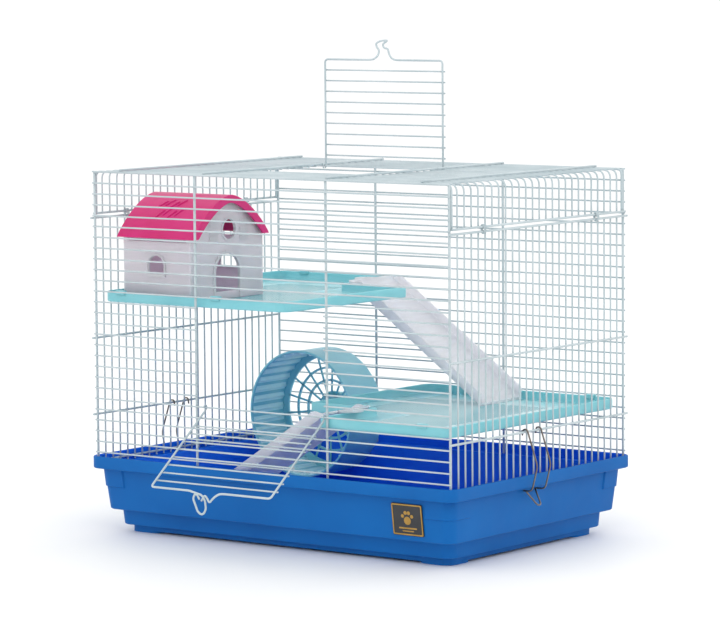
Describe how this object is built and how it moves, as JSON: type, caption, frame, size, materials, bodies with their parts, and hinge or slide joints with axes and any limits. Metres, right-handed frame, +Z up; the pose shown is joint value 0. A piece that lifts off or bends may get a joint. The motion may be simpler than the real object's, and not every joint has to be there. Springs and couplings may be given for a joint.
{
  "type": "hamster cage",
  "caption": "Two-storey wire hamster cage on a deep plastic tray, with front and roof doors, platforms, ramps, a small house and an exercise wheel.",
  "frame": {"origin": "on the ground under the middle of the whole object's box, with both doors open", "axes": "+Z up, +Y towards the back, +X to the right seen from the front door"},
  "size_m": [0.4956, 0.4156, 0.5188],
  "materials": {
    "tray_blue": "satin moulded polypropylene",
    "plate_black": "printed foil plate",
    "coated_wire": "pale powder coat",
    "spring_steel": "dark spring steel",
    "aqua_plastic": "satin moulded plastic",
    "frosted_plastic": "frosted translucent plastic",
    "pink_plastic": "translucent moulded plastic",
    "teal_clear": "clear tinted plastic"
  },
  "bodies": {
    "root": {"tray": "tray_blue", "nameplate": "plate_black", "front_panel": "coated_wire", "back_panel": "coated_wire", "left_side_panel": "coated_wire", "right_side_panel": "coated_wire", "roof_panel": "coated_wire", "fold_clip_left_front": "coated_wire", "fold_clip_left_rear": "coated_wire", "fold_clip_right_front": "coated_wire", "fold_clip_right_rear": "coated_wire", "upper_platform": "aqua_plastic", "lower_platform": "aqua_plastic", "house_walls": "frosted_plastic", "wheel_bracket": "aqua_plastic", "wheel_axle": "spring_steel", "wheel_cap": "aqua_plastic"},
    "front_door": {"front_door": "coated_wire"},
    "top_door": {"top_door": "coated_wire"},
    "tray_clip_left": {"tray_clip_left": "spring_steel"},
    "tray_clip_right": {"tray_clip_right": "spring_steel"},
    "upper_ramp": {"upper_ramp": "frosted_plastic"},
    "lower_ramp": {"lower_ramp": "frosted_plastic"},
    "house_roof": {"house_roof": "pink_plastic"},
    "wheel": {"wheel_drum": "teal_clear"}
  },
  "joints": [
    {"name": "front_door_hinge", "type": "hinge", "parent": "root", "child": "front_door", "pos_m": [0, -0.11365, 0.1433], "axis": [-1, 0, 0], "range_deg": [0, 128]},
    {"name": "top_door_hinge", "type": "hinge", "parent": "root", "child": "top_door", "pos_m": [0, 0.09231, 0.3829], "axis": [1, 0, 0], "range_deg": [0, 90]},
    {"name": "tray_clip_left_pivot", "type": "hinge", "parent": "root", "child": "tray_clip_left", "pos_m": [-0.2317, 0.02664, 0.126], "axis": [0, 1, 0], "range_deg": [0, 100]},
    {"name": "tray_clip_right_pivot", "type": "hinge", "parent": "root", "child": "tray_clip_right", "pos_m": [0.2317, 0.02664, 0.126], "axis": [0, -1, 0], "range_deg": [0, 100]},
    {"name": "upper_ramp_tilt", "type": "hinge", "parent": "root", "child": "upper_ramp", "pos_m": [-0.0674, 0.14755, 0.25685], "axis": [0, -1, 0], "range_deg": [0, 24]},
    {"name": "lower_ramp_tilt", "type": "hinge", "parent": "root", "child": "lower_ramp", "pos_m": [0.0674, -0.05845, 0.14305], "axis": [0, 1, 0], "range_deg": [0, 24]},
    {"name": "house_roof_lift", "type": "slide", "parent": "root", "child": "house_roof", "axis": [0, 0, 1], "range_m": [0, 0.02]},
    {"name": "wheel_spin", "type": "hinge", "parent": "root", "child": "wheel", "pos_m": [-0.1455, 0.15855, 0.107], "axis": [0, 1, 0], "continuous": true}
  ]
}
